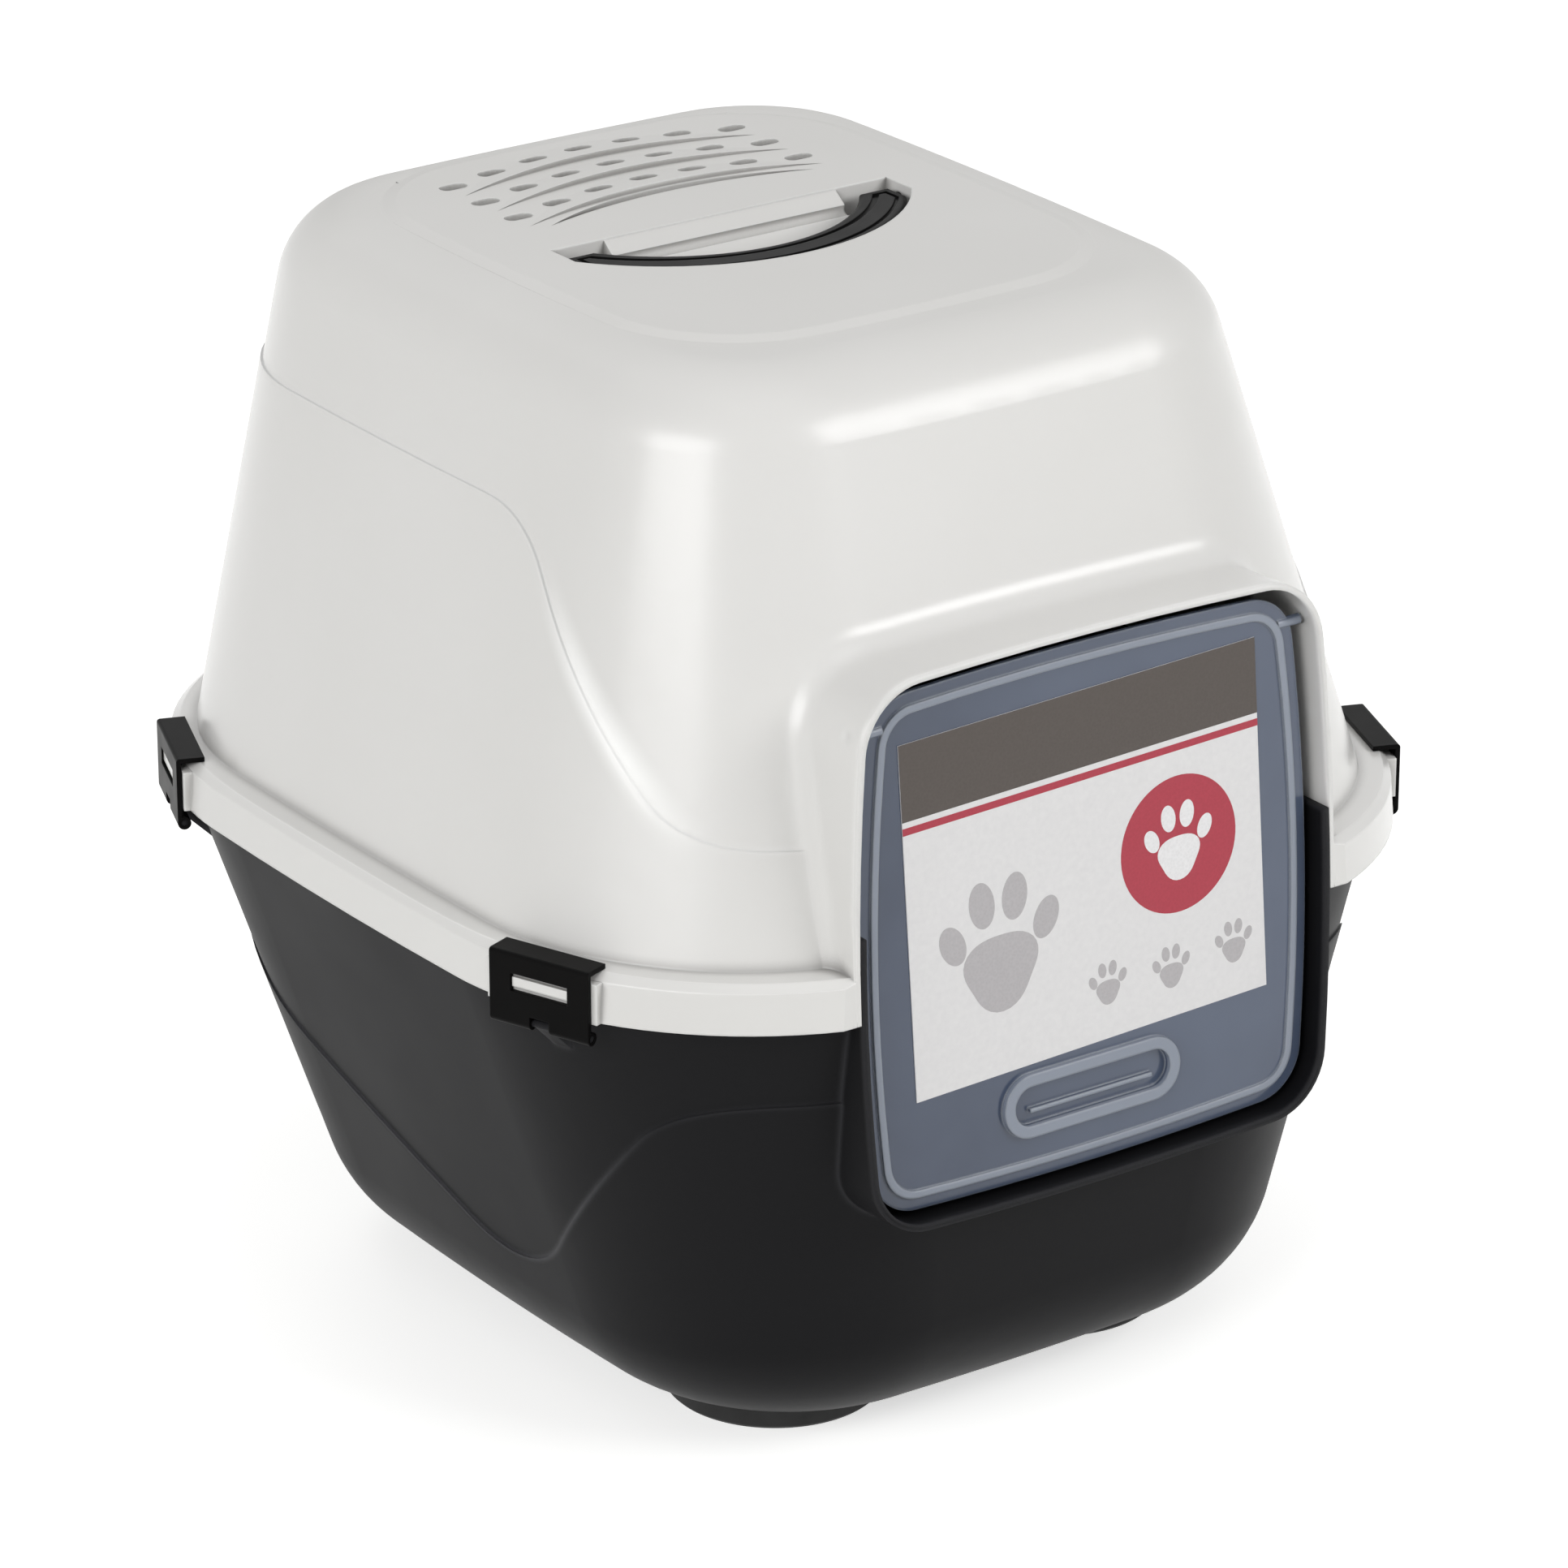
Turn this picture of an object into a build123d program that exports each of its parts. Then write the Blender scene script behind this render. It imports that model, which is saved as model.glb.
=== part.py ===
from build123d import *
from math import atan2, cos, radians, sin, sqrt
import os

# Hooded cat litter box: deep pan, clip-on hood, swing door, bail handle, latches and odour filter.
# Millimetres, +Z up, front (door) towards -Y, origin on the floor under the middle of the box.

os.makedirs("parts", exist_ok=True)

# Overall reach, and the rim where hood and pan meet
front_reach = 231.0
rear_reach = 231.0
rim_half_width = 221.0
rim_bulge = 6.0
rim_bow = 10.0
rim_corner = 146.0
skirt_bottom = 217.0
skirt_height = 20.0
skirt_flare = 1.5
skirt_wall = 2.2
skirt_chamfer = 3.0
flange_thickness = 2.6

# Hood body: how far it stands in from the rim, and how it tapers to the top
hood_wall = 2.4
hood_height = 456.0
hood_inset_side = 16.0
hood_inset_front = 20.0
hood_inset_rear = 15.0
hood_base_bow = 6.0
hood_base_corner = 125.0
hood_taper_side = 62.0
hood_taper_front = 68.0
hood_taper_rear = 23.0
hood_top_bow = 5.0
hood_top_corner = 68.0
shoulder_round = 38.0
plateau_rise = 1.6
plateau_half_width = 110.0
plateau_front = 104.0
plateau_rear = 156.0
plateau_corner = 58.0
plateau_slope = 6.0
wave_relief = 0.9
wave_radius = 60.0
hood_wave_drop = 67.0
hood_wave_fall = 108.0
hood_wave_rear = -60.0
hood_wave_front = -168.0

# Pan
pan_wall = 2.8
pan_inset_side = 5.0
pan_inset_front = 11.0
pan_inset_rear = 10.0
pan_rim_bow = 12.0
pan_rim_corner = 142.0
pan_taper_side = 65.0
pan_taper_front = 32.0
pan_taper_rear = 64.0
pan_base_bow = 6.0
pan_base_corner = 94.0
pan_bend = 62.0
pan_flange_gap = 1.0
pan_flange_thickness = 2.8
rest_gap = 0.3
pan_wave_rear = 140.0
pan_wave_low = 55.0
pan_wave_high = 178.0
pan_wave_low_place = -70.0
pan_wave_high_place = -175.0

# Feet
foot_height = 9.0
foot_radius = 46.0
foot_spread = 72.0
foot_front_place = -104.0
foot_rear_place = 74.0
foot_edge = 1.5

# Doorway collar
door_lean = 3.0
collar_foot = 121.0
collar_wall = 2.6
collar_depth = 62.0
collar_lip_depth = 19.0
collar_edge = 0.8
collar_root = 12.0
nest_gap = 0.5
arm_height = 252.0

# Door
door_gap = 3.0
door_recess = 9.0
door_thickness = 2.2
door_height = 214.0
door_top_half_width = 103.0
door_mid_half_width = 111.0
door_bottom_half_width = 106.0
door_arch = 3.0
door_corner = 22.0
bead_inset = 5.0
bead_width = 3.0
bead_rise = 1.2
pivot_drop = 12.0
pivot_radius = 2.2
pivot_root = 3.0
running_gap = 0.1
pull_length = 88.0
pull_height = 27.0
pull_rim = 5.0
pull_rise = 2.6
pull_sink = 1.0
pull_place = 29.0
pull_ledge = 1.6

# Label card on the door
label_width = 176.0
label_height = 150.0
label_thickness = 0.5
label_turn = 1.8
label_place = 122.0

# Latches
latch_turn = 21.0
latch_length = 47.0
latch_wall = 2.0
latch_gap = 0.4
latch_hook = 10.0
latch_window_length = 27.0
latch_window_height = 7.5
latch_pin_radius = 1.4
latch_knuckle = 2.8
latch_pin_drop = 6.5
latch_web = 8.0
latch_web_gap = 0.6
latch_round = 1.4
pad_rise = 0.3
pad_depth = 4.0
pad_margin = 2.5
lug_height = 4.0
lug_rise = 1.6

# Carry handle and its recess
recess_half_length = 84.0
recess_back = 36.0
recess_side = 18.0
recess_front = -26.0
recess_depth = 21.0
recess_wall = 2.4
ramp_half_length = 58.0
ramp_run = 28.0
ramp_sink = 0.8
handle_gap = 2.5
handle_sink = 2.6
handle_thickness = 8.5
handle_arm = 15.0
handle_grip = 20.0
handle_heel = 4.0
handle_groove_inset = 4.0
handle_groove = 2.0
handle_groove_depth = 1.0
handle_pivot_place = 27.0
handle_pivot_radius = 2.6
handle_round = 2.0

# Vent louvres behind the handle
louvre_count = 3
louvre_first = 80.0
louvre_pitch = 24.5
louvre_radius = 210.0
louvre_half_length = 84.0
louvre_rise = 2.2
louvre_fade = 20.0
louvre_dip = 0.6
vent_length = 13.0
vent_width = 7.0
vent_pitch = 23.5
vent_per_row = 7
slot_width = 6.0
slot_gap = 1.0
slot_half_length = 66.0

# Odour filter under the louvres
well_half_length = 84.0
well_front = 54.0
well_rear = 152.0
well_wall = 2.2
well_depth = 16.0
frame_gap = 0.8
frame_thickness = 2.4
frame_lip = 4.0
frame_lip_wall = 1.8
frame_border = 9.0
frame_bars = 5
frame_bar_width = 3.0
filter_thickness = 8.0
hinge_radius = 1.8
hinge_back = 4.5
hinge_ear = 3.0
hinge_tab = 12.0
hinge_half_length = 46.0

# Heights and places worked out from the sizes above
rim_front = front_reach + rim_bulge
hood_base_half_width = rim_half_width - hood_inset_side
hood_base_front = rim_front - hood_inset_front
hood_base_rear = rear_reach - hood_inset_rear
pan_rim_half_width = rim_half_width - pan_inset_side
pan_rim_front = rim_front - pan_inset_front
pan_rim_rear = rear_reach - pan_inset_rear
hood_wave_high = hood_height - hood_wave_drop
hood_wave_low = hood_wave_high - hood_wave_fall
well_bottom = hood_height - well_depth
ledge = skirt_bottom + skirt_height
pan_top = ledge - flange_thickness - rest_gap
frame_top = well_bottom - rest_gap
hinge_place = well_rear + hinge_back
hinge_height = frame_top - frame_thickness / 2
handle_top = hood_height - handle_sink
handle_pivot_height = handle_top - handle_thickness / 2
clear_of_all = 2 * hood_height


def plan_outline(half_width, front, rear, bow, corner, height):
    """Plan outline at one height: bowed sides and large round corners."""
    side = half_width - bow
    low = bow - front
    high = rear - bow
    with BuildSketch(Plane.XY.offset(height)) as section:
        with BuildLine():
            ThreePointArc((side, low), (half_width, (low + high) / 2), (side, high))
            ThreePointArc((side, high), (0, rear), (-side, high))
            ThreePointArc((-side, high), (-half_width, (low + high) / 2), (-side, low))
            ThreePointArc((-side, low), (0, -front), (side, low))
        make_face()
        fillet(section.vertices(), corner)
    return section.sketch.face()


def rim_outline(inset, height):
    return plan_outline(
        rim_half_width - inset,
        rim_front - inset,
        rear_reach - inset,
        rim_bow,
        rim_corner - inset,
        height,
    )


def hood_base(skin):
    return plan_outline(
        hood_base_half_width - skin,
        hood_base_front - skin,
        hood_base_rear - skin,
        hood_base_bow,
        hood_base_corner - skin,
        ledge,
    )


def hood_form(skin):
    """Tapered hood with a round shoulder, drawn in by a skin thickness."""
    top = plan_outline(
        hood_base_half_width - hood_taper_side - skin,
        hood_base_front - hood_taper_front - skin,
        hood_base_rear - hood_taper_rear - skin,
        hood_top_bow,
        hood_top_corner - skin,
        hood_height - plateau_rise - skin,
    )
    with BuildPart() as form:
        loft(sections=[hood_base(skin), top], ruled=True)
        fillet(form.faces().sort_by(Axis.Z)[-1].edges(), shoulder_round - skin)
    return form.part


def plateau(growth, height):
    return plan_outline(
        plateau_half_width + growth,
        plateau_front + growth,
        plateau_rear + growth,
        hood_top_bow,
        plateau_corner + growth,
        height,
    )


def pan_rim(skin):
    return plan_outline(
        pan_rim_half_width - skin,
        pan_rim_front - skin,
        pan_rim_rear - skin,
        pan_rim_bow,
        pan_rim_corner - skin,
        skirt_bottom,
    )


def pan_form(skin):
    """Tapered pan with a wide round bend into its flat bottom, drawn in by a skin thickness."""
    base = plan_outline(
        pan_rim_half_width - pan_taper_side - skin,
        pan_rim_front - pan_taper_front - skin,
        pan_rim_rear - pan_taper_rear - skin,
        pan_base_bow,
        pan_base_corner - skin,
        foot_height + skin,
    )
    with BuildPart() as form:
        loft(sections=[pan_rim(skin), base], ruled=True)
        fillet(form.faces().sort_by(Axis.Z)[0].edges(), pan_bend - skin)
    return form.part


def below_wave(points):
    """Everything below a soft S-line seen from the side."""
    first = points[0]
    last = points[-1]
    with BuildPart() as region:
        with BuildSketch(Plane.YZ):
            with BuildLine():
                FilletPolyline(*points, radius=wave_radius)
                Polyline(last, (last[0], -clear_of_all), (first[0], -clear_of_all), first)
            make_face()
        extrude(amount=clear_of_all, both=True)
    return region.part


# Leaning plane of the doorway's front edge, and the door's own plane behind it
front_plane = Plane(
    origin=(0, -front_reach, collar_foot),
    x_dir=(1, 0, 0),
    z_dir=(0, -cos(radians(door_lean)), sin(radians(door_lean))),
)
door_plane = front_plane.offset(-door_recess)
pan_collar_inside = door_gap
pan_collar_outside = pan_collar_inside + collar_wall
hood_collar_inside = pan_collar_outside + nest_gap
hood_collar_outside = hood_collar_inside + collar_wall
door_bottom = pan_collar_outside + door_arch
door_top = door_bottom + door_height
collar_top = collar_foot + door_top + door_arch + hood_collar_outside
pivot_centre = door_plane.offset(-door_thickness / 2).from_local_coords((0, door_top - pivot_drop, 0))
pivot_corner_run = sqrt(door_corner**2 - (door_corner - pivot_drop) ** 2)
pivot_start = door_top_half_width - door_corner + pivot_corner_run
pivot_end = pivot_start + hood_collar_outside


def door_outline(plane, growth):
    """Barrel-sided door outline with round corners, grown or shrunk for what fits round it."""
    low = door_bottom - growth
    high = door_top + growth
    bottom = door_bottom_half_width + growth
    middle = door_mid_half_width + growth
    top = door_top_half_width + growth
    with BuildSketch(plane) as face:
        with BuildLine():
            ThreePointArc((-bottom, low), (0, low - door_arch), (bottom, low))
            ThreePointArc((bottom, low), (middle, (low + high) / 2), (top, high))
            ThreePointArc((top, high), (0, high + door_arch), (-top, high))
            ThreePointArc((-top, high), (-middle, (low + high) / 2), (-bottom, low))
        make_face()
        fillet(face.vertices(), door_corner + growth)
    return face.sketch


def doorway_block(growth, depth, low, high, ahead=0.0, edge=0.0):
    """Solid of the doorway outline, from its front plane backwards, between two heights."""
    with BuildPart() as block:
        extrude(door_outline(front_plane.offset(ahead), growth), amount=-depth - ahead)
        if edge:
            chamfer(block.faces().sort_by(Axis.Y)[0].edges(), edge)
        with BuildSketch(Plane.XY.offset(low)):
            Rectangle(clear_of_all, clear_of_all)
        extrude(amount=high - low, mode=Mode.INTERSECT)
    return block.part


def ahead_of_front():
    """Everything in front of the doorway's front edge."""
    with BuildPart() as region:
        with BuildSketch(front_plane):
            Rectangle(clear_of_all, clear_of_all)
        extrude(amount=front_reach)
    return region.part


# Latches sit on the rim's corner arcs, square to the curve
latch_places = {
    "latch_front_left": (-1, -1),
    "latch_front_right": (1, -1),
    "latch_rear_left": (-1, 1),
    "latch_rear_right": (1, 1),
}
rim_corners = [
    edge.arc_center
    for edge in rim_outline(0, skirt_bottom).edges().filter_by(GeomType.CIRCLE)
    if abs(edge.radius - rim_corner) < rest_gap
]
latch_plate_inside = pad_rise + latch_gap
latch_plate_outside = latch_plate_inside + latch_wall
latch_pin_out = latch_plate_outside - latch_knuckle
latch_hook_bottom = latch_pin_drop + skirt_height + rest_gap
latch_window_place = latch_pin_drop + skirt_height / 2


def latch_frame(side, end):
    """Section plane of a latch: x outwards from the rim, y up, at the height of its pin."""
    outward = Vector(side * cos(radians(latch_turn)), end * sin(radians(latch_turn)), 0)
    centre = [c for c in rim_corners if c.X * side > 0 and c.Y * end > 0][0]
    place = centre + outward * rim_corner
    return Plane(
        origin=(place.X, place.Y, skirt_bottom - latch_pin_drop),
        x_dir=outward,
        z_dir=outward.cross(Vector(0, 0, 1)),
    )


def recess_outline(growth, height):
    """Handle recess seen from above: straight back, short sides, bowed front."""
    side = recess_half_length + growth
    back = recess_back + growth
    with BuildSketch(Plane.XY.offset(height)) as shape:
        with BuildLine():
            Polyline((side, recess_side), (side, back), (-side, back), (-side, recess_side))
            ThreePointArc((-side, recess_side), (0, recess_front - growth), (side, recess_side))
        make_face()
    return shape.sketch


def crescent(middle, width, half_length, height):
    """Crescent seen from above: an arc of the louvre radius and a fuller one meeting at the tips."""
    tip = middle - louvre_radius + sqrt(louvre_radius**2 - half_length**2)
    with BuildSketch(Plane.XY.offset(height)) as shape:
        with BuildLine():
            ThreePointArc((-half_length, tip), (0, middle), (half_length, tip))
            ThreePointArc((half_length, tip), (0, middle + width), (-half_length, tip))
        make_face()
    return shape.sketch


def louvre_place(row, x):
    """How far back the front edge of a louvre lies at a distance from the middle."""
    return louvre_first + row * louvre_pitch - louvre_radius + sqrt(louvre_radius**2 - x**2)


# Louvre scales: a step along the front edge, fading out to the back and to both tips
louvre_slope = atan2(louvre_rise, louvre_fade)
louvre_sag = louvre_radius - sqrt(louvre_radius**2 - louvre_half_length**2)
louvre_lift = louvre_rise + louvre_sag * louvre_rise / louvre_fade + louvre_dip
louvre_dome = louvre_half_length**2 / (2 * louvre_lift)


def louvre_scale(row):
    edge_place = louvre_first + row * louvre_pitch
    crest = Plane(
        origin=(0, edge_place, hood_height + louvre_rise),
        x_dir=(1, 0, 0),
        z_dir=(0, cos(louvre_slope), -sin(louvre_slope)),
    )
    with BuildPart() as scale:
        extrude(
            crescent(edge_place, louvre_pitch, louvre_half_length, hood_height - hood_wall / 2),
            amount=hood_wall + 2 * louvre_rise,
        )
        with BuildSketch(crest):
            with Locations((0, louvre_dome)):
                Circle(louvre_dome)
        extrude(amount=2 * louvre_pitch, both=True, mode=Mode.INTERSECT)
    return scale.part


# Well that takes the odour filter, with two hinge ears at its back
with BuildPart() as filter_well:
    with BuildSketch(Plane.XY.offset(well_bottom)):
        with Locations((0, (well_front + well_rear) / 2)):
            Rectangle(2 * well_half_length, well_rear - well_front)
            Rectangle(
                2 * (well_half_length - well_wall),
                well_rear - well_front - 2 * well_wall,
                mode=Mode.SUBTRACT,
            )
    extrude(amount=hood_height - hood_wall / 2 - well_bottom)
    for side in (-1, 1):
        with BuildSketch(Plane.YZ.offset(side * (hinge_half_length - hinge_ear / 2))):
            with Locations((hinge_place, hinge_height)):
                Circle(hinge_back)
            with Locations((well_rear - well_wall, well_bottom)):
                Rectangle(
                    hinge_back + well_wall,
                    hood_height - hood_wall / 2 - well_bottom,
                    align=(Align.MIN, Align.MIN),
                )
        extrude(amount=hinge_ear / 2, both=True)
    with BuildSketch(Plane.YZ):
        with Locations((hinge_place, hinge_height)):
            Circle(hinge_radius + running_gap)
    extrude(amount=hinge_half_length + hinge_ear, both=True, mode=Mode.SUBTRACT)

# Handle, seen from above: a crescent bail, grown or shrunk for what fits round it
handle_half_length = recess_half_length - handle_gap
handle_front = recess_front + handle_gap
handle_back = handle_pivot_place + handle_heel


def handle_outline(growth, height):
    side = handle_half_length + growth
    inner = handle_half_length - handle_arm - growth
    back = handle_back + growth
    front = handle_front - growth
    with BuildSketch(Plane.XY.offset(height)) as shape:
        with BuildLine():
            Polyline((-inner, back), (-side, back), (-side, recess_side))
            ThreePointArc((-side, recess_side), (0, front), (side, recess_side))
            Polyline((side, recess_side), (side, back), (inner, back))
            ThreePointArc((inner, back), (0, handle_front + handle_grip + growth), (-inner, back))
        make_face()
    return shape.sketch


# Ramp that guides the fingers under the handle
with BuildPart() as ramp:
    with BuildSketch(Plane.YZ):
        with BuildLine():
            Polyline(
                (recess_back, hood_height - ramp_sink),
                (recess_back - ramp_run, hood_height - recess_depth),
                (recess_back, hood_height - recess_depth),
                close=True,
            )
        make_face()
    extrude(amount=ramp_half_length, both=True)
    extrude(handle_outline(handle_gap, hood_height), amount=-recess_depth, mode=Mode.SUBTRACT)

# Hood
hood_wave = (
    (clear_of_all, hood_wave_high),
    (hood_wave_rear, hood_wave_high),
    (hood_wave_front, hood_wave_low),
    (-clear_of_all, hood_wave_low),
)
with BuildPart() as wave_panel:
    add(hood_form(-wave_relief))
    add(below_wave(hood_wave), mode=Mode.INTERSECT)
with BuildPart() as skirt:
    loft(sections=[rim_outline(0, skirt_bottom), rim_outline(skirt_flare, ledge)], ruled=True)
    chamfer(skirt.faces().sort_by(Axis.Z)[-1].edges(), skirt_chamfer)
with BuildPart() as hood:
    add(hood_form(0))
    wall_edges = hood.edges()
    add(doorway_block(hood_collar_outside, collar_depth, ledge, hood_height, edge=collar_edge))
    root_edges = [
        edge
        for edge in hood.edges() - wall_edges
        if ledge + rest_gap < edge.center().Z < collar_top
        and edge.geom_type in (GeomType.BSPLINE, GeomType.ELLIPSE)
        and front_plane.to_local_coords(edge.center()).Z < -2 * collar_edge
    ]
    fillet(root_edges, collar_root)
    add(wave_panel.part)
    add(skirt.part)
    for side, end in latch_places.values():
        with BuildSketch(latch_frame(side, end)):
            with Locations((pad_rise - pad_depth / 2, latch_pin_drop + (skirt_height - skirt_chamfer) / 2)):
                Rectangle(pad_depth, skirt_height - skirt_chamfer)
        extrude(amount=latch_length / 2 + pad_margin, both=True)
        with BuildSketch(latch_frame(side, end)):
            with Locations((pad_rise, latch_window_place)):
                Rectangle(2 * lug_rise, lug_height)
        extrude(amount=latch_window_length / 2 - latch_gap, both=True)
    add(hood_form(hood_wall), mode=Mode.SUBTRACT)
    extrude(hood_base(hood_wall), amount=-skirt_height, mode=Mode.SUBTRACT)
    loft(
        sections=[
            rim_outline(skirt_wall, skirt_bottom),
            rim_outline(skirt_wall + skirt_flare, ledge - flange_thickness),
        ],
        ruled=True,
        mode=Mode.SUBTRACT,
    )
    for side, end in latch_places.values():
        with BuildSketch(latch_frame(side, end)):
            with Locations((pad_rise - pad_depth / 2, latch_pin_drop + (skirt_height - skirt_chamfer) / 2)):
                Rectangle(pad_depth, skirt_height - skirt_chamfer)
        extrude(amount=latch_length / 2 + pad_margin, both=True)
    add(doorway_block(hood_collar_outside, collar_lip_depth, skirt_bottom, ledge, edge=collar_edge))
    add(ahead_of_front(), mode=Mode.SUBTRACT)
    add(
        doorway_block(
            hood_collar_inside, collar_depth, skirt_bottom - rest_gap, hood_height, ahead=door_recess
        ),
        mode=Mode.SUBTRACT,
    )
    with BuildSketch(Plane.YZ):
        with Locations((pivot_centre.Y, pivot_centre.Z)):
            Circle(pivot_radius + running_gap)
    extrude(amount=pivot_end + collar_wall, both=True, mode=Mode.SUBTRACT)
    loft(
        sections=[
            plateau(plateau_slope, hood_height - plateau_rise - hood_wall / 2),
            plateau(plateau_slope, hood_height - plateau_rise),
            plateau(0, hood_height),
        ],
        ruled=True,
    )
    add(filter_well.part)
    for row in range(louvre_count):
        add(louvre_scale(row))
    extrude(recess_outline(recess_wall, hood_height), amount=-recess_depth - recess_wall)
    extrude(recess_outline(0, hood_height), amount=-recess_depth, mode=Mode.SUBTRACT)
    add(ramp.part)
    with BuildSketch(Plane.YZ):
        with Locations((handle_pivot_place, handle_pivot_height)):
            Circle(handle_pivot_radius + running_gap)
    extrude(amount=recess_half_length + recess_wall, both=True, mode=Mode.SUBTRACT)
    with BuildSketch(Plane.XY.offset(well_bottom)):
        for row in range(louvre_count):
            for place in range(vent_per_row):
                x = (place - (vent_per_row - 1) / 2) * vent_pitch
                with Locations((x, louvre_place(row, x) + louvre_pitch / 2)):
                    SlotOverall(vent_length, vent_width)
    extrude(amount=hood_height, mode=Mode.SUBTRACT)
    extrude(
        crescent(louvre_first - slot_gap - slot_width, slot_width, slot_half_length, well_bottom),
        amount=hood_height,
        mode=Mode.SUBTRACT,
    )
hood.part.label = "hood"
export_step(hood.part, "parts/hood.step")

# Pan
pan_wave = (
    (clear_of_all, pan_wave_rear + clear_of_all * (pan_wave_rear - pan_wave_low) / front_reach),
    (pan_wave_low_place, pan_wave_low),
    (pan_wave_high_place, pan_wave_high),
    (-clear_of_all, pan_wave_high),
)
with BuildPart() as pan:
    add(pan_form(-wave_relief))
    add(below_wave(pan_wave), mode=Mode.INTERSECT)
    with BuildSketch(Plane.XY.offset(foot_height)):
        Rectangle(clear_of_all, clear_of_all)
    extrude(amount=skirt_bottom - foot_height, mode=Mode.INTERSECT)
    add(pan_form(0))
    extrude(pan_rim(0), amount=pan_top - skirt_bottom)
    extrude(
        rim_outline(skirt_flare + skirt_wall + pan_flange_gap, pan_top), amount=-pan_flange_thickness
    )
    add(doorway_block(pan_collar_outside, collar_depth, 0, skirt_bottom - rest_gap))
    for side, end in latch_places.values():
        with BuildSketch(latch_frame(side, end)):
            with BuildLine():
                Polyline(
                    (latch_pin_out, -latch_pin_radius),
                    (latch_pin_out, latch_pin_radius),
                    (-skirt_wall - pad_depth / 2, latch_knuckle),
                    (-skirt_wall - pad_depth / 2, latch_pin_drop + skirt_height / 2),
                    (-latch_length / 2, latch_pin_drop + skirt_height / 2),
                    (-latch_length / 2, -latch_length / 2),
                    close=True,
                )
            make_face()
        extrude(amount=latch_web / 2, both=True)
        with BuildSketch(latch_frame(side, end)):
            with Locations((latch_pin_out, 0)):
                Circle(latch_pin_radius)
        extrude(amount=latch_length / 2 - latch_gap, both=True)
    add(pan_form(pan_wall), mode=Mode.SUBTRACT)
    extrude(pan_rim(pan_wall), amount=pan_top - skirt_bottom, mode=Mode.SUBTRACT)
    add(
        doorway_block(
            hood_collar_outside + nest_gap,
            collar_lip_depth + nest_gap,
            skirt_bottom - rest_gap,
            hood_height,
        ),
        mode=Mode.SUBTRACT,
    )
    add(doorway_block(pan_collar_outside, collar_lip_depth, skirt_bottom - collar_wall, arm_height))
    add(ahead_of_front(), mode=Mode.SUBTRACT)
    add(
        doorway_block(pan_collar_inside, collar_depth, 0, hood_height, ahead=door_recess),
        mode=Mode.SUBTRACT,
    )
pan.part.label = "pan"
export_step(pan.part, "parts/pan.step")

# Feet, seated on the pan's flat bottom
foot_places = {
    "foot_front_left": (-foot_spread, foot_front_place),
    "foot_front_right": (foot_spread, foot_front_place),
    "foot_rear_left": (-foot_spread, foot_rear_place),
    "foot_rear_right": (foot_spread, foot_rear_place),
}
for name, place in foot_places.items():
    with BuildPart() as foot:
        with BuildSketch():
            with Locations(place):
                Circle(foot_radius)
        extrude(amount=foot_height)
        chamfer(foot.faces().sort_by(Axis.Z)[0].edges(), foot_edge)
    foot.part.label = name
    export_step(foot.part, f"parts/{name}.step")

# Door flap
with BuildPart() as door:
    extrude(door_outline(door_plane, 0), amount=-door_thickness)
    extrude(door_outline(door_plane, -bead_inset), amount=bead_rise)
    extrude(
        door_outline(door_plane, -bead_inset - bead_width),
        amount=bead_rise,
        mode=Mode.SUBTRACT,
    )
    with BuildSketch(door_plane):
        with Locations((0, door_bottom + pull_place)):
            SlotOverall(pull_length, pull_height)
            SlotOverall(pull_length - 2 * pull_rim, pull_height - 2 * pull_rim, mode=Mode.SUBTRACT)
    extrude(amount=pull_rise)
    with BuildSketch(door_plane):
        with Locations((0, door_bottom + pull_place)):
            SlotOverall(pull_length - 2 * pull_rim, pull_height - 2 * pull_rim)
    extrude(amount=-pull_sink, mode=Mode.SUBTRACT)
    with BuildSketch(door_plane.offset(-pull_sink)):
        with Locations((0, door_bottom + pull_place - pull_rim / 2)):
            Rectangle(pull_length - pull_height, pull_ledge)
    extrude(amount=pull_sink + pull_rise / 2)
    for side in (-1, 1):
        with BuildSketch(Plane.YZ.offset(side * (pivot_start - pivot_root))):
            with Locations((pivot_centre.Y, pivot_centre.Z)):
                Circle(pivot_radius)
        extrude(amount=side * (pivot_end - pivot_start + pivot_root))
door.part.label = "door_flap"
export_step(door.part, "parts/door_flap.step")

# Label card, a little askew on the door
with BuildPart() as label_card:
    with BuildSketch(door_plane):
        with Locations(Location((0, door_bottom + label_place, 0), (0, 0, label_turn))):
            Rectangle(label_width, label_height)
    extrude(amount=label_thickness)
label_card.part.label = "label_card"
export_step(label_card.part, "parts/label_card.step")

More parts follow.
